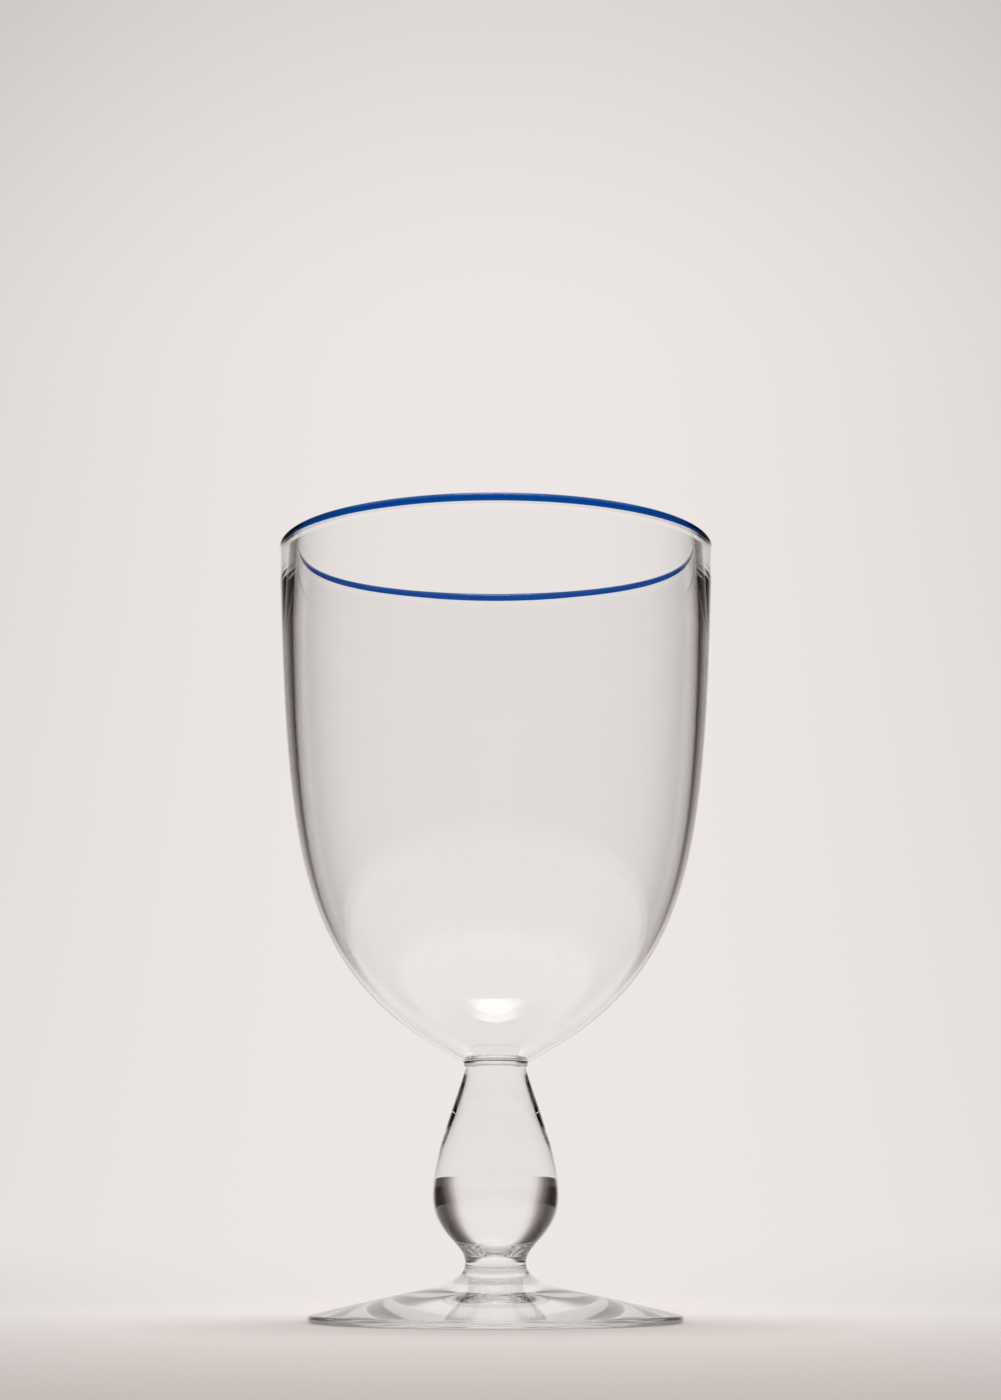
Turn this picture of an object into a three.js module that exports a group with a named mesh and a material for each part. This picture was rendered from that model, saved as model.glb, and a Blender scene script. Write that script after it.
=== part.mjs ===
// A stemmed drinking glass: a solid foot and baluster stem, a thin collar, a blown bowl and a blue rim.
// Millimetres, +Z up. The origin is the centre of the foot's underside, on the glass's own axis.
import * as THREE from 'three';

// Heights of the stacked pieces, from the table up
const FOOT_HEIGHT = 11.3;
const STEM_LENGTH = 37.0;
const COLLAR_THICKNESS = 1.0;
const BOWL_HEIGHT = 100.88;

// Foot: a round-edged disc that rises in a shallow cone to the neck
const FOOT_RADIUS = 35.8;
const FOOT_EDGE = 1.5;

// Stem: narrow neck, widest at the bulb, tapering to the top
const NECK_RADIUS = 5.87;
const BULB_RADIUS = 12.12;
const BULB_HEIGHT = 12.5;
const STEM_TOP_RADIUS = 5.85;

// Collar: a wafer fused between the stem and the bowl, rounded underneath and widest under the bowl
const COLLAR_RADIUS = 6.25;

// Bowl: its mouth, the raised floor's glass over the collar and that floor's rounded shoulder, and the glass
// low and high on the wall and at the lip
const MOUTH_RADIUS = 43.2;
const FLOOR_THICKNESS = 1.3;
const FLOOR_ROUND = 0.95;
const LOWER_WALL = 0.5;
const UPPER_WALL = 2.3;
const LIP_WALL = 2.8;

// Rim: a band of blue glass on the mouth, with straight sides and a rounded crown
const RIM_SIDE = 0.65;
const RIM_CROWN = 1.2;

// Where the handles of each curve lie, as [across, up] shares of that curve's own width and height
const FOOT_NECK_HANDLE = [0, 0.458];
const FOOT_EDGE_HANDLE = [0.806, 0.575];
const BULB_NECK_HANDLE = [0, 0.285];
const BULB_LOWER_HANDLE = [0, 0.572];
const BULB_UPPER_HANDLE = [0, 0.338];
const STEM_TOP_HANDLE = [0.129, 0.166];
const BOWL_SEAT_HANDLE = [0.888, 0.166];
const BOWL_MOUTH_HANDLE = [0.063, 0.609];

// Where along the bowl's outside curve, from seat to mouth, the floor ends and the thicker lip begins
const FLOOR_START = 0.002;
const LIP_START = 0.9;

// How the wall thickens on its way up: 1 is evenly, more is faster near the mouth
const WALL_GROWTH = 1.3;

// Fineness of the turned shapes
const SEGMENTS = 48;
const CURVE_STEPS = 12;
const ARC_STEPS = 6;
const BOWL_STEPS = 16;
const LIP_STEPS = 5;

const CLEAR_GLASS = { color: 0xe9eeee, roughness: 0.03, metalness: 0, transparent: true, opacity: 0.35 };
const BLUE_GLASS = { color: 0x0d4796, roughness: 0.06, metalness: 0 };

const footTop = FOOT_HEIGHT;
const stemTop = footTop + STEM_LENGTH;
const collarTop = stemTop + COLLAR_THICKNESS;
const bowlTop = collarTop + BOWL_HEIGHT;

// A smooth curve between two profile points, each with a handle that reaches towards the other point
function curve(start, startHandle, end, endHandle) {
  const span = end.clone().sub(start);
  const reach = (handle) => new THREE.Vector2(...handle).multiply(span);
  const first = start.clone().add(reach(startHandle));
  const second = end.clone().sub(reach(endHandle));
  return new THREE.CubicBezierCurve(start, first, second, end);
}

// Points of a quarter or half ellipse about (x, y), without its first point
function arc(x, y, radiusX, radiusY, startAngle, endAngle) {
  const ellipse = new THREE.EllipseCurve(x, y, radiusX, radiusY, startAngle, endAngle);
  return ellipse.getPoints(ARC_STEPS).slice(1);
}

// A closed solid turned about the glass's axis from a profile of (radius, height) points
function turned(name, profile, finish) {
  const geometry = new THREE.LatheGeometry(profile, SEGMENTS);
  geometry.rotateX(Math.PI / 2);
  const mesh = new THREE.Mesh(geometry, new THREE.MeshStandardMaterial(finish));
  mesh.name = name;
  return mesh;
}

const point = (radius, height) => new THREE.Vector2(radius, height);

function foot() {
  const edgeRound = FOOT_EDGE / 2;
  const edgeCentre = FOOT_RADIUS - edgeRound;
  const upper = curve(
    point(edgeCentre, FOOT_EDGE), FOOT_EDGE_HANDLE,
    point(NECK_RADIUS, footTop), FOOT_NECK_HANDLE,
  );
  return turned('foot', [
    point(0, 0),
    point(edgeCentre, 0),
    ...arc(edgeCentre, edgeRound, edgeRound, edgeRound, -Math.PI / 2, Math.PI / 2),
    ...upper.getPoints(CURVE_STEPS).slice(1),
    point(0, footTop),
  ], CLEAR_GLASS);
}

function stem() {
  const widest = point(BULB_RADIUS, footTop + BULB_HEIGHT);
  const lower = curve(point(NECK_RADIUS, footTop), BULB_NECK_HANDLE, widest, BULB_LOWER_HANDLE);
  const upper = curve(widest, BULB_UPPER_HANDLE, point(STEM_TOP_RADIUS, stemTop), STEM_TOP_HANDLE);
  return turned('stem', [
    point(0, footTop),
    ...lower.getPoints(CURVE_STEPS),
    ...upper.getPoints(CURVE_STEPS).slice(1),
    point(0, stemTop),
  ], CLEAR_GLASS);
}

function collar() {
  const overhang = COLLAR_RADIUS - STEM_TOP_RADIUS;
  return turned('collar', [
    point(0, stemTop),
    point(STEM_TOP_RADIUS, stemTop),
    ...arc(STEM_TOP_RADIUS, collarTop, overhang, COLLAR_THICKNESS, -Math.PI / 2, 0),
    point(0, collarTop),
  ], CLEAR_GLASS);
}

// The inside follows the outside, thicker towards the mouth and most at the lip, down to a small raised floor
function bowlInside(outside) {
  const wallPoint = (share) => {
    const along = outside.getTangent(share);
    const inward = point(-along.y, along.x);
    const lip = Math.max(0, (share - LIP_START) / (1 - LIP_START));
    const swell = (LIP_WALL - UPPER_WALL) * lip ** 2;
    const thickness = THREE.MathUtils.lerp(LOWER_WALL, UPPER_WALL, share ** WALL_GROWTH) + swell;
    return outside.getPoint(share).addScaledVector(inward, thickness);
  };
  const wall = [point(MOUTH_RADIUS - LIP_WALL, bowlTop)];
  for (let step = 1; step <= LIP_STEPS; step += 1) {
    wall.push(wallPoint(THREE.MathUtils.lerp(1, LIP_START, step / LIP_STEPS)));
  }
  for (let step = 1; step <= BOWL_STEPS; step += 1) {
    wall.push(wallPoint(THREE.MathUtils.lerp(LIP_START, FLOOR_START, step / BOWL_STEPS)));
  }
  const groove = wall[wall.length - 1];
  const floorTop = collarTop + FLOOR_THICKNESS;
  const shoulder = arc(groove.x - FLOOR_ROUND, groove.y, FLOOR_ROUND, floorTop - groove.y, 0, Math.PI / 2);
  return [...wall, ...shoulder, point(0, floorTop)];
}

function bowl() {
  const seatEdge = point(COLLAR_RADIUS, collarTop);
  const mouthEdge = point(MOUTH_RADIUS, bowlTop);
  const outside = curve(seatEdge, BOWL_SEAT_HANDLE, mouthEdge, BOWL_MOUTH_HANDLE);
  return turned('bowl', [
    point(0, collarTop),
    ...outside.getPoints(BOWL_STEPS),
    ...bowlInside(outside),
  ], CLEAR_GLASS);
}

function blueRim() {
  const inner = MOUTH_RADIUS - LIP_WALL;
  const half = LIP_WALL / 2;
  const crownBase = bowlTop + RIM_SIDE;
  return turned('blue_rim', [
    point(inner, bowlTop),
    point(MOUTH_RADIUS, bowlTop),
    point(MOUTH_RADIUS, crownBase),
    ...arc(inner + half, crownBase, half, RIM_CROWN, 0, Math.PI),
    point(inner, bowlTop),
  ], BLUE_GLASS);
}

const glass = new THREE.Group();
glass.add(foot(), stem(), collar(), bowl(), blueRim());

export default glass;
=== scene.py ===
"""A stemmed drinking glass with a blue rim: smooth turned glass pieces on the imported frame, in metres."""
import math

import bpy
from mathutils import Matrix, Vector


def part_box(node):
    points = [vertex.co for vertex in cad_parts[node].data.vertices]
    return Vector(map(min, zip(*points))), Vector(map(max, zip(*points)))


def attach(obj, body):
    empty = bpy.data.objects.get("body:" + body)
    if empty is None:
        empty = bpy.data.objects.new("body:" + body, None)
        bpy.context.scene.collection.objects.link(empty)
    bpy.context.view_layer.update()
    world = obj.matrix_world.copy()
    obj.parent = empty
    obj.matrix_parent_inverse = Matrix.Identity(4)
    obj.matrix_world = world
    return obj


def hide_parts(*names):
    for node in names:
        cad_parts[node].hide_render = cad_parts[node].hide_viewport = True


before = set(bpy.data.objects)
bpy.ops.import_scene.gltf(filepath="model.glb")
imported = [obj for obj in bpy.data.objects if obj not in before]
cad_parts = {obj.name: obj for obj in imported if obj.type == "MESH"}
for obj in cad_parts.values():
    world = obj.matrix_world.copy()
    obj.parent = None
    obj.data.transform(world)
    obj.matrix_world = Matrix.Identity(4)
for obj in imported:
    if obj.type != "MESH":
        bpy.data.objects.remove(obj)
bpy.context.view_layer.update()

MM = 0.001
DEGREES = 180 / math.pi

# Where the handles of each profile curve lie, as (across, up) shares of that curve's own width and height
FOOT_NECK_HANDLE = (0.0, 0.458)
FOOT_EDGE_HANDLE = (0.806, 0.575)
BULB_NECK_HANDLE = (0.0, 0.285)
BULB_LOWER_HANDLE = (0.0, 0.572)
BULB_UPPER_HANDLE = (0.0, 0.338)
STEM_TOP_HANDLE = (0.129, 0.166)
BOWL_SEAT_HANDLE = (0.888, 0.166)
BOWL_MOUTH_HANDLE = (0.063, 0.609)

# The bowl's glass: its thickness low and high on the wall and how it grows between them, where along the
# outside curve, from seat to mouth, the floor ends and the thicker lip begins, and the rounding of the
# floor's shoulder
LOWER_WALL = 0.5 * MM
UPPER_WALL = 2.3 * MM
WALL_GROWTH = 1.3
FLOOR_START = 0.002
LIP_START = 0.9
FLOOR_ROUND = 0.95 * MM

# Glass: its refraction, the range of its colour along faint streaks, the roughness in them, and the depth
# and strength of its cords
GLASS_IOR = 1.5
CLEAR_COLOURS = ((1.0, 0.996, 0.992, 1.0), (0.988, 0.99, 0.988, 1.0))
BLUE_COLOURS = ((0.002, 0.155, 0.56, 1.0), (0.004, 0.175, 0.60, 1.0))
STREAK_ROUGHNESS = 0.012
CORD_DEPTH = 0.1 * MM
CORD_STRENGTH = 0.05

# The scale, stretch along the axis and detail of the streaks and of the cords
STREAKS = (90.0, 0.15, 2.0)
CORDS = (28.0, 0.4, 1.0)

# What clear glass mirrors isn't tinted
CLEAR_GLOSS = (1.0, 1.0, 1.0, 1.0)

# How the blue glass tints the light inside it, how fast, per metre, and how it tints what it mirrors
BLUE_DEPTH_TINT = (0.1, 0.52, 0.75, 1.0)
BLUE_DEPTH = 600.0
BLUE_GLOSS = (0.3, 0.5, 1.0, 1.0)

# Fineness of the turned meshes
SEGMENTS = 192
CURVE_STEPS = 96
ARC_STEPS = 24
TABLE_SEGMENTS = 256

# Rings closer than this are at the same place, and points nearer the axis than this lie on it
SAME_PLACE = 0.01 * MM
ON_AXIS = 0.0001 * MM

# Fused faces are drawn this far apart, so that a ray crosses both of them
CONTACT = 0.002 * MM

# The camera of the photograph: its place, its tilt up from level, and its lens on a 36 mm long side
PHOTO_WIDTH = 1001
PHOTO_HEIGHT = 1400
CAMERA_PLACE = Vector((0.92, -550.9, 18.44)) * MM
CAMERA_TILT = math.radians(10.506)
FOCAL_PIXELS = 2825.5
SENSOR = 36.0
CLIP_START = 0.01

# Studio: its dark sides' colour, and the backdrop's colour, distance, size and lower edge
STUDIO_DARK = (0.024, 0.017, 0.015, 1.0)
BACKDROP = (0.845, 0.80, 0.785, 1.0)
BACKDROP_SIDE = (0.86, 0.745, 0.715, 1.0)
BACKDROP_Y = 280 * MM
BACKDROP_SIZE = (640 * MM, 640 * MM)
BACKDROP_LOW = -90 * MM

# How far the table reaches to the sides, behind the glass and in front of it, its colours behind and in
# front, the front one darker with painted shade, the colour of the floor beyond it, where that painted
# shade changes, and how much paler its matt surface is
TABLE_SIDE = 136 * MM
TABLE_REACH_BACK = 262 * MM
TABLE_REACH_FRONT = 330 * MM
TABLE_BACK = (0.82, 0.785, 0.77, 1.0)
TABLE_FRONT_SHADED = (0.55, 0.505, 0.482, 1.0)
FAR_FLOOR = (0.785, 0.75, 0.735, 1.0)
TABLE_SHADING = (-240 * MM, 60 * MM)
TABLE_ALBEDO = 1.15

# The table lies this far under the foot, and fades into the floor between these shares of its reach
TABLE_GAP = 0.05 * MM
TABLE_FADE = (0.4, 0.95)

# The floor beyond the table, seen through the glass, changes from the back colour to the front one, darker
# with painted shade, between these angles from straight behind the glass, in degrees
FAR_TABLE_TURN = (50.0, 170.0)

# How much of the glass's own shadow on the table is lifted with painted light, the table's glow, where it
# is seen through the glass
TABLE_THROUGH_GLASS = 0.55

# Painted light and shade on the table, seen by the camera only:
# How much paler the photographed table is in the middle, how much it darkens at this distance to the sides,
# and the most that this grows to
TABLE_GAIN = 0.03
TABLE_FALL = 0.09
TABLE_FALL_WIDTH = 100 * MM
TABLE_FALL_MOST = 1.25

# The lamp above the glass: the place, size and level of the soft shade that lights the table, and of the
# bulb and the glow behind it that the glass mirrors
SHADE_PLACE = (0.0, 0.095, 1.10)
SHADE_SIZE = (0.56, 0.40)
SHADE_LEVEL = 9.0
BULB_PLACE = (0.0, 0.045, 1.10)
BULB_SIZE = (0.54, 0.22)
BULB_LEVEL = 13.0
GLOW_PLACE = (0.0, 0.207, 1.10)
GLOW_SIZE = (0.46, 0.45)
GLOW_LEVEL = 2.8

# Each lamp rises from nothing to its level between these shares of its radius
LAMP_EDGE = (1.0, 0.35)

# The level and colour of the light that fills the shadows
FILL_LEVEL = 0.74
FILL_COLOUR = (1.0, 0.97, 0.95, 1.0)

# How much of the backdrop's light reaches the glass, by the distance from its middle line in millimetres
BACKDROP_LEVELS = (
    (0, 1.0), (105, 1.0), (132, 0.9), (155, 0.6), (180, 0.33), (205, 0.17), (260, 0.04), (320, 0.0),
)

# The camera sees the backdrop fade out between these distances from its middle line in millimetres
BACKDROP_SEEN_EDGE = (300.0, 200.0)

# How much the backdrop darkens at this distance in millimetres to the sides, the most that this grows to,
# and its shares at these heights in millimetres. Then its level at its top, and how much more its sides
# darken at its foot
BACKDROP_FALL = 0.085
BACKDROP_FALL_WIDTH = 140.0
BACKDROP_FALL_MOST = 1.3
BACKDROP_FALL_HEIGHTS = ((0.0, 0.55), (400.0, 1.4))
BACKDROP_TOP = ((270.0, 1.0), (520.0, 0.72))
BACKDROP_FOOT = ((-3.0, 0.065), (14.0, 0.0))

# How much brighter the backdrop is through the bowl than beside it, by the height in millimetres
BACKDROP_GLOW = ((40.0, 1.0), (90.0, 1.04))

# The backdrop's width at these heights in millimetres, as a share of its width at the glass
BACKDROP_WIDTHS = ((-20, 1.17), (60, 0.96), (280, 0.78))

# Level of the studio around the glass by the angle from straight behind it, in degrees: straight through
# the glass, and mirrored by it
CLEAR_LEVELS = ((0, 1.0), (12, 0.95), (24, 0.0), (62, 0.0), (82, 0.8), (116, 0.95), (180, 1.0))
MIRROR_LEVELS = ((0, 1.0), (12, 0.95), (24, 0.0), (62, 0.0), (82, 0.07), (116, 0.06), (180, 0.08))

# The studio dims to this share between these angles above level, in degrees
STUDIO_DIM_EDGE = (25.0, 50.0)
STUDIO_DIM = 0.5

# The ceiling above the glass begins at these angles above level, in degrees
CEILING_EDGE = (45.0, 51.0)
CEILING = 0.8

# The studio ends at the floor, between these angles from level in degrees: seen through the glass, and by
# the camera
TABLE_EDGE_DROP = (-17.0, -15.0)
HORIZON_DROP = (-5.0, -0.5)


# Profiles


def rings(node):
    """The distinct (radius, height) rings of a CAD node."""
    return {
        (round(math.hypot(v.co.x, v.co.y), 7), round(v.co.z, 7))
        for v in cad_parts[node].data.vertices
    }


def widest(node):
    """The (radius, height) of a CAD node's widest ring, the lowest one where several are as wide."""
    return max(rings(node), key=lambda ring: (ring[0], -ring[1]))


def radii_at(node, height):
    """The smallest and largest radius of a CAD node's rings at a height."""
    found = [r for r, z in rings(node) if abs(z - height) < SAME_PLACE]
    return min(found), max(found)


def curve_controls(start, start_handle, end, end_handle):
    """The four control points of a curve whose handles are shares of its width and height."""
    span = end - start
    first = start + Vector((span.x * start_handle[0], span.y * start_handle[1]))
    second = end - Vector((span.x * end_handle[0], span.y * end_handle[1]))
    return start, first, second, end


def curve_point(controls, t):
    start, first, second, end = controls
    s = 1 - t
    return start * s**3 + first * 3 * s * s * t + second * 3 * s * t * t + end * t**3


def curve_tangent(controls, t):
    start, first, second, end = controls
    s = 1 - t
    slope = (first - start) * s * s + (second - first) * 2 * s * t + (end - second) * t * t
    return slope.normalized()


def curve_points(controls):
    return [curve_point(controls, step / CURVE_STEPS) for step in range(CURVE_STEPS + 1)]


def curve(start, start_handle, end, end_handle):
    return curve_points(curve_controls(start, start_handle, end, end_handle))


def arc(centre, across, up, start_angle, end_angle):
    """Points of part of an ellipse in the profile plane."""
    points = []
    for step in range(ARC_STEPS + 1):
        angle = start_angle + (end_angle - start_angle) * step / ARC_STEPS
        points.append(centre + Vector((across * math.cos(angle), up * math.sin(angle))))
    return points


def point(radius, height):
    return Vector((radius, height))


# Turned pieces


def stretch_normals(points):
    """The outward normal at each point of a stretch, to the right of its direction."""
    normals = []
    last = len(points) - 1
    for i in range(last + 1):
        if last < 2:
            along = points[last] - points[0]
        elif i == 0:
            along = points[1] * 4 - points[0] * 3 - points[2]
        elif i == last:
            along = points[last] * 3 - points[last - 1] * 4 + points[last - 2]
        else:
            along = points[i + 1] - points[i - 1]
        along = along.normalized()
        normals.append(Vector((along.y, -along.x)))
    return normals


def turned(name, stretches, materials):
    """Turn a profile about the glass's axis. Each stretch is its points and its material's index."""
    vertices = []
    ring_of = {}

    def ring(place):
        key = (round(place.x, 8), round(place.y, 8))
        if key not in ring_of:
            count = 1 if place.x < ON_AXIS else SEGMENTS
            ring_of[key] = range(len(vertices), len(vertices) + count)
            for k in range(count):
                turn = 2 * math.pi * k / SEGMENTS
                vertices.append((place.x * math.cos(turn), place.x * math.sin(turn), place.y))
        return ring_of[key]

    faces = []
    slots = []
    loop_normals = []

    def spin(normal, k):
        turn = 2 * math.pi * k / SEGMENTS
        return (normal.x * math.cos(turn), normal.x * math.sin(turn), normal.y)

    for points, slot in stretches:
        normals = stretch_normals(points)
        for i in range(len(points) - 1):
            low, high = ring(points[i]), ring(points[i + 1])
            for k in range(SEGMENTS):
                after = (k + 1) % SEGMENTS
                if len(low) == 1:
                    corners = [(low[0], normals[i], k), (high[after], normals[i + 1], after),
                               (high[k], normals[i + 1], k)]
                elif len(high) == 1:
                    corners = [(low[k], normals[i], k), (low[after], normals[i], after),
                               (high[0], normals[i + 1], k)]
                else:
                    corners = [(low[k], normals[i], k), (low[after], normals[i], after),
                               (high[after], normals[i + 1], after), (high[k], normals[i + 1], k)]
                faces.append([corner[0] for corner in corners])
                slots.append(slot)
                loop_normals.extend(spin(corner[1], corner[2]) for corner in corners)

    mesh = bpy.data.meshes.new(name)
    mesh.from_pydata(vertices, [], faces)
    for material in materials:
        mesh.materials.append(material)
    mesh.polygons.foreach_set("material_index", slots)
    mesh.polygons.foreach_set("use_smooth", [True] * len(faces))
    mesh.normals_split_custom_set(loop_normals)
    mesh.update()
    piece = bpy.data.objects.new(name, mesh)
    bpy.context.scene.collection.objects.link(piece)
    return piece


def place(piece, node, slot):
    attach(piece, "root")
    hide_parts(node)


SKIN = 0
FUSED = 1


def make_foot(materials):
    low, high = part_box("foot")
    radius, edge_middle = widest("foot")
    edge_round = edge_middle - low.z
    neck = radii_at("foot", high.z)[1]
    edge_centre = point(radius - edge_round, edge_middle)
    lower_edge = point(edge_centre.x, low.z)
    upper_edge = point(edge_centre.x, edge_middle + edge_round)
    top = point(neck, high.z - CONTACT)
    stretches = [
        ([point(0, low.z), lower_edge], SKIN),
        (arc(edge_centre, edge_round, edge_round, -math.pi / 2, math.pi / 2), SKIN),
        (curve(upper_edge, FOOT_EDGE_HANDLE, top, FOOT_NECK_HANDLE), SKIN),
        ([top, point(0, top.y)], FUSED),
    ]
    place(turned("foot_glass", stretches, materials), "foot", "clear_glass")


def make_stem(materials):
    low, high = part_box("stem")
    neck = radii_at("stem", low.z)[1]
    top_radius = radii_at("stem", high.z)[1]
    bulb = point(*widest("stem"))
    bottom = point(neck, low.z)
    top = point(top_radius, high.z - CONTACT)
    stretches = [
        ([point(0, low.z), bottom], FUSED),
        (curve(bottom, BULB_NECK_HANDLE, bulb, BULB_LOWER_HANDLE), SKIN),
        (curve(bulb, BULB_UPPER_HANDLE, top, STEM_TOP_HANDLE), SKIN),
        ([top, point(0, top.y)], FUSED),
    ]
    place(turned("stem_glass", stretches, materials), "stem", "clear_glass")


def make_collar(materials):
    low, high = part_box("collar")
    stem_side = radii_at("collar", low.z)[1]
    bowl_side = radii_at("collar", high.z)[1]
    top = high.z - CONTACT
    edge = arc(point(stem_side, top), bowl_side - stem_side, top - low.z, -math.pi / 2, 0)
    stretches = [
        ([point(0, low.z), edge[0]], FUSED),
        (edge, SKIN),
        ([edge[-1], point(0, top)], FUSED),
    ]
    place(turned("collar_glass", stretches, materials), "collar", "clear_glass")


def bowl_inside(outside, inner_mouth, lip_wall, floor_top):
    """The inside follows the outside, thicker towards the mouth and most at the lip, to a raised floor."""

    def wall_point(share):
        along = curve_tangent(outside, share)
        lip = max(0.0, (share - LIP_START) / (1 - LIP_START))
        swell = (lip_wall - UPPER_WALL) * lip**2
        thickness = LOWER_WALL + (UPPER_WALL - LOWER_WALL) * share**WALL_GROWTH + swell
        return curve_point(outside, share) + Vector((-along.y, along.x)) * thickness

    lip_step = (LIP_START - 1) / ARC_STEPS
    wall_step = (FLOOR_START - LIP_START) / CURVE_STEPS
    shares = [1 + lip_step * step for step in range(1, ARC_STEPS)]
    shares += [LIP_START + wall_step * step for step in range(CURVE_STEPS + 1)]
    wall = [inner_mouth] + [wall_point(share) for share in shares]
    groove = wall[-1]
    centre = point(groove.x - FLOOR_ROUND, groove.y)
    shoulder = arc(centre, FLOOR_ROUND, floor_top - groove.y, 0, math.pi / 2)
    return wall, shoulder, [shoulder[-1], point(0, floor_top)]


def make_bowl(materials):
    low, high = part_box("bowl")
    seat = point(radii_at("bowl", low.z)[1], low.z)
    inner, outer = radii_at("bowl", high.z)
    floor_top = min(z for r, z in rings("bowl") if r < SAME_PLACE and z > low.z + SAME_PLACE)
    mouth = point(outer, high.z - CONTACT)
    inner_mouth = point(inner, mouth.y)
    outside = curve_controls(seat, BOWL_SEAT_HANDLE, mouth, BOWL_MOUTH_HANDLE)
    wall, shoulder, floor = bowl_inside(outside, inner_mouth, outer - inner, floor_top)
    stretches = [
        ([point(0, low.z), seat], FUSED),
        (curve_points(outside), SKIN),
        ([mouth, inner_mouth], SKIN),
        (wall, SKIN),
        (shoulder, SKIN),
        (floor, SKIN),
    ]
    place(turned("bowl_glass", stretches, materials), "bowl", "clear_glass")


def make_rim(materials):
    low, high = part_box("blue_rim")
    inner, outer = radii_at("blue_rim", low.z)
    side_top = max(z for r, z in rings("blue_rim") if abs(r - outer) < SAME_PLACE)
    half = (outer - inner) / 2
    crown = arc(point(inner + half, side_top), half, high.z - side_top, 0, math.pi)
    inner_low = point(inner, low.z)
    outer_low = point(outer, low.z)
    stretches = [
        ([inner_low, outer_low], SKIN),
        ([outer_low, crown[0]], SKIN),
        (crown, SKIN),
        ([crown[-1], inner_low], SKIN),
    ]
    place(turned("rim_glass", stretches, materials), "blue_rim", "blue_glass")


# Materials


def new_material(name):
    material = bpy.data.materials.new(name)
    material.use_nodes = True
    tree = material.node_tree
    tree.nodes.clear()
    output = tree.nodes.new("ShaderNodeOutputMaterial")
    return material, tree, output


def noise(tree, scale, stretch, detail):
    """A noise texture over the object, stretched along the glass's axis."""
    place_node = tree.nodes.new("ShaderNodeTexCoord")
    mapping = tree.nodes.new("ShaderNodeMapping")
    mapping.inputs["Scale"].default_value = (1.0, 1.0, stretch)
    texture = tree.nodes.new("ShaderNodeTexNoise")
    texture.inputs["Scale"].default_value = scale
    texture.inputs["Detail"].default_value = detail
    tree.links.new(place_node.outputs["Object"], mapping.inputs["Vector"])
    tree.links.new(mapping.outputs["Vector"], texture.inputs["Vector"])
    return texture.outputs["Fac"]


def map_range(tree, value, from_low, from_high, to_low=0.0, to_high=1.0, smooth=True):
    node = tree.nodes.new("ShaderNodeMapRange")
    node.interpolation_type = "SMOOTHSTEP" if smooth else "LINEAR"
    node.inputs["From Min"].default_value = from_low
    node.inputs["From Max"].default_value = from_high
    node.inputs["To Min"].default_value = to_low
    node.inputs["To Max"].default_value = to_high
    tree.links.new(value, node.inputs["Value"])
    return node.outputs["Result"]


def mixed(tree, value, first, second):
    """A colour between two others, each a plain colour or another node's output."""
    node = tree.nodes.new("ShaderNodeMix")
    node.data_type = "RGBA"
    node.clamp_factor = False
    for socket, colour in zip([i for i in node.inputs if i.type == "RGBA"], (first, second)):
        if isinstance(colour, tuple):
            socket.default_value = colour
        else:
            tree.links.new(colour, socket)
    tree.links.new(value, node.inputs["Factor"])
    return [o for o in node.outputs if o.type == "RGBA"][0]


def glass_material(name, colours, gloss, depth_tint=None):
    """Clear or tinted glass with faint streaks and cords. A depth tint deepens with its thickness."""
    material, tree, output = new_material(name)
    shader = tree.nodes.new("ShaderNodeBsdfPrincipled")
    shader.inputs["Transmission Weight"].default_value = 1.0
    shader.inputs["IOR"].default_value = GLASS_IOR
    shader.inputs["Specular Tint"].default_value = gloss
    streaks = noise(tree, *STREAKS)
    cords = noise(tree, *CORDS)
    tree.links.new(mixed(tree, streaks, *colours), shader.inputs["Base Color"])
    roughness = map_range(tree, streaks, 0.0, 1.0, 0.0, STREAK_ROUGHNESS, False)
    tree.links.new(roughness, shader.inputs["Roughness"])
    bump = tree.nodes.new("ShaderNodeBump")
    bump.inputs["Strength"].default_value = CORD_STRENGTH
    bump.inputs["Distance"].default_value = CORD_DEPTH
    tree.links.new(cords, bump.inputs["Height"])
    tree.links.new(bump.outputs["Normal"], shader.inputs["Normal"])
    tree.links.new(shader.outputs["BSDF"], output.inputs["Surface"])
    if depth_tint:
        absorption = tree.nodes.new("ShaderNodeVolumeAbsorption")
        absorption.inputs["Color"].default_value = depth_tint
        absorption.inputs["Density"].default_value = BLUE_DEPTH
        tree.links.new(absorption.outputs["Volume"], output.inputs["Volume"])
    return material


def fused_material():
    """Two pieces fused to each other have no surface between them."""
    material, tree, output = new_material("fused_joint")
    shader = tree.nodes.new("ShaderNodeBsdfTransparent")
    tree.links.new(shader.outputs["BSDF"], output.inputs["Surface"])
    return material


# Studio


def math_node(tree, operation, *values):
    node = tree.nodes.new("ShaderNodeMath")
    node.operation = operation
    for socket, value in zip(node.inputs, values):
        if isinstance(value, (int, float)):
            socket.default_value = value
        else:
            tree.links.new(value, socket)
    return node.outputs[0]


def seen_directly(tree):
    """1 for rays from the camera, a reflection or a refraction, 0 for those that light matt surfaces."""
    path = tree.nodes.new("ShaderNodeLightPath")
    shown = math_node(tree, "MAXIMUM", path.outputs["Is Camera Ray"], path.outputs["Is Glossy Ray"])
    shown = math_node(tree, "MAXIMUM", shown, path.outputs["Is Transmission Ray"])
    no_matt = math_node(tree, "LESS_THAN", path.outputs["Diffuse Depth"], 0.5)
    return math_node(tree, "MULTIPLY", shown, no_matt)


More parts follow.
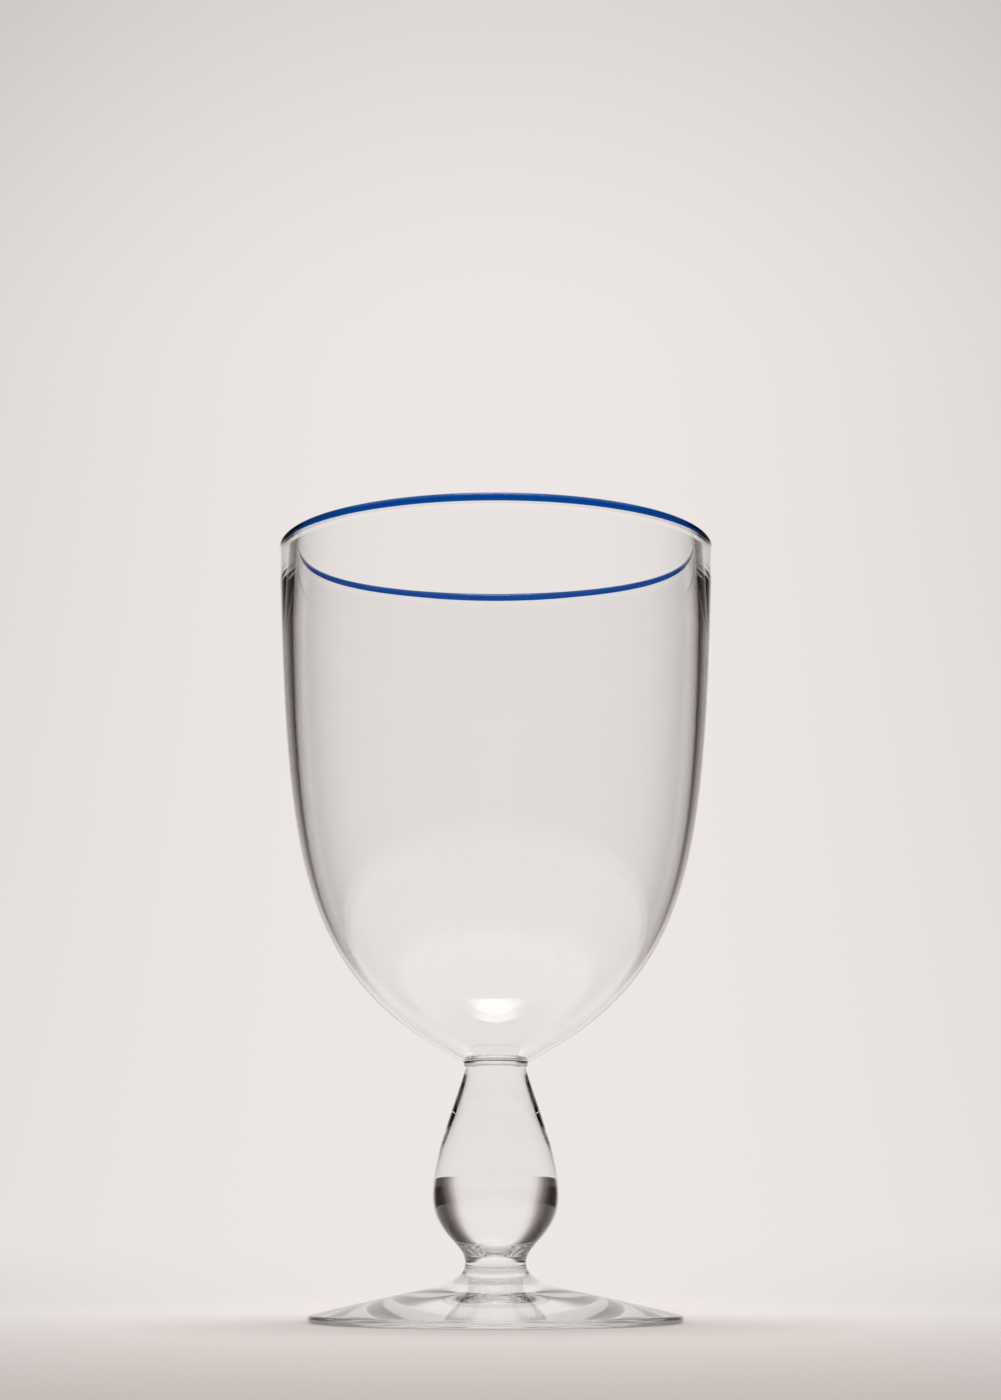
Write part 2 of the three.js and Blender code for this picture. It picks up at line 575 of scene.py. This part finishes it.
def level_ramp(tree, value, levels):
    """A smooth level read from (place, level) stops, in order of place."""
    top = levels[-1][0]
    ramp = tree.nodes.new("ShaderNodeValToRGB")
    ramp.color_ramp.interpolation = "EASE"
    stops = ramp.color_ramp.elements
    while len(stops) < len(levels):
        stops.new(0.5)
    for stop, (where, level) in zip(stops, levels):
        stop.position = where / top
        stop.color = (level, level, level, 1.0)
    tree.links.new(math_node(tree, "DIVIDE", value, top), ramp.inputs["Fac"])
    return ramp.outputs["Color"]


def scaled(tree, colour, level):
    """A colour times a level, which is a number or another node's output."""
    node = tree.nodes.new("ShaderNodeVectorMath")
    node.operation = "SCALE"
    tree.links.new(colour, node.inputs[0])
    if isinstance(level, float):
        node.inputs["Scale"].default_value = level
    else:
        tree.links.new(level, node.inputs["Scale"])
    return node.outputs["Vector"]


def make_world():
    """Pale to the camera, and to the glass dark at the sides, with a ceiling, a floor and a fill light."""
    world = bpy.data.worlds.new("studio")
    bpy.context.scene.world = world
    world.use_nodes = True
    tree = world.node_tree
    tree.nodes.clear()
    output = tree.nodes.new("ShaderNodeOutputWorld")
    direction = tree.nodes.new("ShaderNodeTexCoord").outputs["Generated"]
    split = tree.nodes.new("ShaderNodeSeparateXYZ")
    tree.links.new(direction, split.inputs["Vector"])
    x, y, z = split.outputs
    turn = math_node(tree, "ARCTAN2", math_node(tree, "ABSOLUTE", x), y)
    azimuth = math_node(tree, "MULTIPLY", turn, DEGREES)
    height = math_node(tree, "MULTIPLY", math_node(tree, "ARCSINE", z), DEGREES)
    path = tree.nodes.new("ShaderNodeLightPath")
    straight = math_node(tree, "LESS_THAN", path.outputs["Glossy Depth"], 0.5)
    mirrored = level_ramp(tree, azimuth, MIRROR_LEVELS)
    level = mixed(tree, straight, mirrored, level_ramp(tree, azimuth, CLEAR_LEVELS))
    dim = map_range(tree, height, *STUDIO_DIM_EDGE, 1.0, STUDIO_DIM)
    level = math_node(tree, "MULTIPLY", level, dim)
    level = math_node(tree, "MAXIMUM", level, map_range(tree, height, *CEILING_EDGE, 0.0, CEILING))
    direct = path.outputs["Is Camera Ray"]
    level = math_node(tree, "MAXIMUM", level, direct)
    around = mixed(tree, level, STUDIO_DARK, BACKDROP)
    table_edge = map_range(tree, height, *TABLE_EDGE_DROP)
    above = mixed(tree, direct, table_edge, map_range(tree, height, *HORIZON_DROP))
    # Painted shade: the floor beyond the table darkens towards the front
    far_table = mixed(tree, map_range(tree, azimuth, *FAR_TABLE_TURN), TABLE_BACK, TABLE_FRONT_SHADED)
    below = mixed(tree, direct, far_table, FAR_FLOOR)
    surround = tree.nodes.new("ShaderNodeBackground")
    tree.links.new(mixed(tree, above, below, around), surround.inputs["Color"])
    fill = tree.nodes.new("ShaderNodeBackground")
    fill.inputs["Color"].default_value = FILL_COLOUR
    fill.inputs["Strength"].default_value = FILL_LEVEL
    mix = tree.nodes.new("ShaderNodeMixShader")
    tree.links.new(seen_directly(tree), mix.inputs["Fac"])
    tree.links.new(fill.outputs[0], mix.inputs[1])
    tree.links.new(surround.outputs[0], mix.inputs[2])
    tree.links.new(mix.outputs[0], output.inputs["Surface"])


def make_backdrop():
    """A lit panel behind the table, seen only from its front, that fades into the studio at its sides."""
    half, tall = BACKDROP_SIZE[0] / 2, BACKDROP_SIZE[1]
    corners = [(-half, 0, 0), (half, 0, 0), (half, 0, tall), (-half, 0, tall)]
    mesh = bpy.data.meshes.new("backdrop")
    mesh.from_pydata(corners, [], [(0, 1, 2, 3)])
    material, tree, output = new_material("backdrop")
    split = tree.nodes.new("ShaderNodeSeparateXYZ")
    tree.links.new(tree.nodes.new("ShaderNodeNewGeometry").outputs["Position"], split.inputs["Vector"])
    across = math_node(tree, "MULTIPLY", math_node(tree, "ABSOLUTE", split.outputs[0]), 1 / MM)
    up = math_node(tree, "MULTIPLY", split.outputs[2], 1 / MM)
    (low, wide), (middle, plain), (high, narrow) = BACKDROP_WIDTHS
    width = math_node(tree, "MULTIPLY", map_range(tree, up, low, middle, wide, plain),
                      map_range(tree, up, middle, high, plain, narrow))
    share = level_ramp(tree, math_node(tree, "DIVIDE", across, width), BACKDROP_LEVELS)
    (low, least), (high, most) = BACKDROP_FALL_HEIGHTS
    fall = math_node(tree, "MULTIPLY", map_range(tree, up, low, high, least, most, False), BACKDROP_FALL)
    offset = math_node(tree, "POWER", math_node(tree, "DIVIDE", across, BACKDROP_FALL_WIDTH), 2.0)
    offset = math_node(tree, "MINIMUM", offset, BACKDROP_FALL_MOST)
    shade = math_node(tree, "SUBTRACT", 1.0, math_node(tree, "MULTIPLY", fall, offset))
    (low, least), (high, most) = BACKDROP_TOP
    shade = math_node(tree, "MULTIPLY", shade, map_range(tree, up, low, high, least, most))
    direct = tree.nodes.new("ShaderNodeLightPath").outputs["Is Camera Ray"]
    (low, most), (high, least) = BACKDROP_FOOT
    fall = math_node(tree, "MULTIPLY", map_range(tree, up, low, high, most, least), direct)
    kept = math_node(tree, "SUBTRACT", 1.0, math_node(tree, "MULTIPLY", fall, offset))
    shade = math_node(tree, "MULTIPLY", shade, kept)
    (low, least), (high, most) = BACKDROP_GLOW
    glow = math_node(tree, "MAXIMUM", map_range(tree, up, low, high, least, most), 1.0)
    through = math_node(tree, "SUBTRACT", 1.0, direct)
    shade = math_node(tree, "MULTIPLY", shade, math_node(tree, "POWER", glow, through))
    seen = math_node(tree, "MULTIPLY", direct, map_range(tree, across, *BACKDROP_SEEN_EDGE))
    share = math_node(tree, "MAXIMUM", share, seen)
    lit = tree.nodes.new("ShaderNodeEmission")
    middle = math_node(tree, "MAXIMUM", share, direct)
    tree.links.new(mixed(tree, middle, BACKDROP_SIDE, BACKDROP), lit.inputs["Color"])
    tree.links.new(shade, lit.inputs["Strength"])
    clear = tree.nodes.new("ShaderNodeBsdfTransparent")
    front = math_node(tree, "SUBTRACT", 1.0, tree.nodes.new("ShaderNodeNewGeometry").outputs["Backfacing"])
    shown = math_node(tree, "MULTIPLY", math_node(tree, "MULTIPLY", share, front), seen_directly(tree))
    mix = tree.nodes.new("ShaderNodeMixShader")
    tree.links.new(shown, mix.inputs["Fac"])
    tree.links.new(clear.outputs[0], mix.inputs[1])
    tree.links.new(lit.outputs[0], mix.inputs[2])
    tree.links.new(mix.outputs[0], output.inputs["Surface"])
    mesh.materials.append(material)
    backdrop = bpy.data.objects.new("backdrop", mesh)
    backdrop.location = (0.0, BACKDROP_Y, BACKDROP_LOW)
    bpy.context.scene.collection.objects.link(backdrop)


def make_table():
    """An oval table top that fades into the far surroundings at its edge."""
    vertices = [(0.0, 0.0, 0.0)]
    faces = []
    for k in range(TABLE_SEGMENTS):
        turn = 2 * math.pi * k / TABLE_SEGMENTS
        reach = TABLE_REACH_BACK if math.sin(turn) > 0 else TABLE_REACH_FRONT
        vertices.append((TABLE_SIDE * math.cos(turn), reach * math.sin(turn), 0.0))
        faces.append((0, 1 + k, 1 + (k + 1) % TABLE_SEGMENTS))
    mesh = bpy.data.meshes.new("table")
    mesh.from_pydata(vertices, [], faces)
    material, tree, output = new_material("table")
    place_vector = tree.nodes.new("ShaderNodeTexCoord").outputs["Object"]
    split = tree.nodes.new("ShaderNodeSeparateXYZ")
    tree.links.new(place_vector, split.inputs["Vector"])
    x, y = split.outputs[0], split.outputs[1]
    # Painted shade: the table's colour darkens towards the front, and for the camera it is painted paler in
    # the middle and darker towards its sides
    behind = map_range(tree, y, *TABLE_SHADING, smooth=False)
    aside = math_node(tree, "POWER", math_node(tree, "DIVIDE", x, TABLE_FALL_WIDTH), 2.0)
    aside = math_node(tree, "MINIMUM", aside, TABLE_FALL_MOST)
    change = math_node(tree, "SUBTRACT", TABLE_GAIN, math_node(tree, "MULTIPLY", aside, TABLE_FALL))
    direct = tree.nodes.new("ShaderNodeLightPath").outputs["Is Camera Ray"]
    level = math_node(tree, "ADD", 1.0, math_node(tree, "MULTIPLY", change, direct))
    colour = scaled(tree, mixed(tree, behind, TABLE_FRONT_SHADED, TABLE_BACK), level)
    matt = tree.nodes.new("ShaderNodeBsdfDiffuse")
    tree.links.new(scaled(tree, colour, TABLE_ALBEDO), matt.inputs["Color"])
    # Painted light: this glow shows the table's painted colour as if lit, fading in towards its edge, and
    # lifts the glass's shadow on the table where it is seen through the glass
    far = tree.nodes.new("ShaderNodeEmission")
    tree.links.new(colour, far.inputs["Color"])
    across = math_node(tree, "POWER", math_node(tree, "DIVIDE", x, TABLE_SIDE), 2.0)
    back = math_node(tree, "MAXIMUM", math_node(tree, "DIVIDE", y, TABLE_REACH_BACK),
                     math_node(tree, "DIVIDE", y, -TABLE_REACH_FRONT))
    reach = math_node(tree, "SQRT", math_node(tree, "ADD", across, math_node(tree, "POWER", back, 2.0)))
    through = tree.nodes.new("ShaderNodeLightPath").outputs["Is Transmission Ray"]
    through = math_node(tree, "MULTIPLY", through, TABLE_THROUGH_GLASS)
    fade = math_node(tree, "MAXIMUM", map_range(tree, reach, *TABLE_FADE), through)
    mix = tree.nodes.new("ShaderNodeMixShader")
    tree.links.new(math_node(tree, "MULTIPLY", fade, seen_directly(tree)), mix.inputs["Fac"])
    tree.links.new(matt.outputs[0], mix.inputs[1])
    tree.links.new(far.outputs[0], mix.inputs[2])
    tree.links.new(mix.outputs[0], output.inputs["Surface"])
    mesh.materials.append(material)
    table = bpy.data.objects.new("table", mesh)
    table.location.z = -TABLE_GAP
    bpy.context.scene.collection.objects.link(table)


def make_lamp(name, place, size, level, mirrored):
    """A soft oval lamp above the glass. Either glass mirrors it, or it lights matt surfaces."""
    half_x, half_y = size[0] / 2, size[1] / 2
    corners = [(-half_x, half_y, 0), (half_x, half_y, 0), (half_x, -half_y, 0), (-half_x, -half_y, 0)]
    mesh = bpy.data.meshes.new(name)
    mesh.from_pydata(corners, [], [(0, 1, 2, 3)])
    material, tree, output = new_material(name)
    mapping = tree.nodes.new("ShaderNodeMapping")
    mapping.inputs["Scale"].default_value = (1 / half_x, 1 / half_y, 1.0)
    tree.links.new(tree.nodes.new("ShaderNodeTexCoord").outputs["Object"], mapping.inputs["Vector"])
    length = tree.nodes.new("ShaderNodeVectorMath")
    length.operation = "LENGTH"
    tree.links.new(mapping.outputs["Vector"], length.inputs[0])
    lit = tree.nodes.new("ShaderNodeEmission")
    strength = map_range(tree, length.outputs["Value"], *LAMP_EDGE, 0.0, level)
    tree.links.new(strength, lit.inputs["Strength"])
    clear = tree.nodes.new("ShaderNodeBsdfTransparent")
    add = tree.nodes.new("ShaderNodeAddShader")
    tree.links.new(lit.outputs[0], add.inputs[0])
    tree.links.new(clear.outputs[0], add.inputs[1])
    tree.links.new(add.outputs[0], output.inputs["Surface"])
    mesh.materials.append(material)
    lamp = bpy.data.objects.new(name, mesh)
    lamp.location = place
    lamp.visible_transmission = False
    lamp.visible_glossy = mirrored
    lamp.visible_diffuse = not mirrored
    bpy.context.scene.collection.objects.link(lamp)


def make_camera():
    data = bpy.data.cameras.new("camera")
    data.sensor_width = SENSOR
    data.lens = SENSOR * FOCAL_PIXELS / max(PHOTO_WIDTH, PHOTO_HEIGHT)
    data.clip_start = CLIP_START
    camera = bpy.data.objects.new("camera", data)
    camera.location = CAMERA_PLACE
    camera.rotation_euler = (math.pi / 2 + CAMERA_TILT, 0, 0)
    bpy.context.scene.collection.objects.link(camera)
    bpy.context.scene.camera = camera


def set_render():
    scene = bpy.context.scene
    scene.view_settings.view_transform = "Standard"
    scene.cycles.max_bounces = 32
    scene.cycles.transmission_bounces = 24
    scene.cycles.glossy_bounces = 12
    scene.cycles.transparent_max_bounces = 32


fused = fused_material()
clear = glass_material("clear_glass", CLEAR_COLOURS, CLEAR_GLOSS)
blue = glass_material("blue_glass", BLUE_COLOURS, BLUE_GLOSS, BLUE_DEPTH_TINT)
for make in (make_foot, make_stem, make_collar, make_bowl):
    make((clear, fused))
make_rim((blue,))
make_world()
make_backdrop()
make_table()
make_lamp("lamp_shade", SHADE_PLACE, SHADE_SIZE, SHADE_LEVEL, False)
make_lamp("lamp_bulb", BULB_PLACE, BULB_SIZE, BULB_LEVEL, True)
make_lamp("lamp_glow", GLOW_PLACE, GLOW_SIZE, GLOW_LEVEL, True)
make_camera()
set_render()
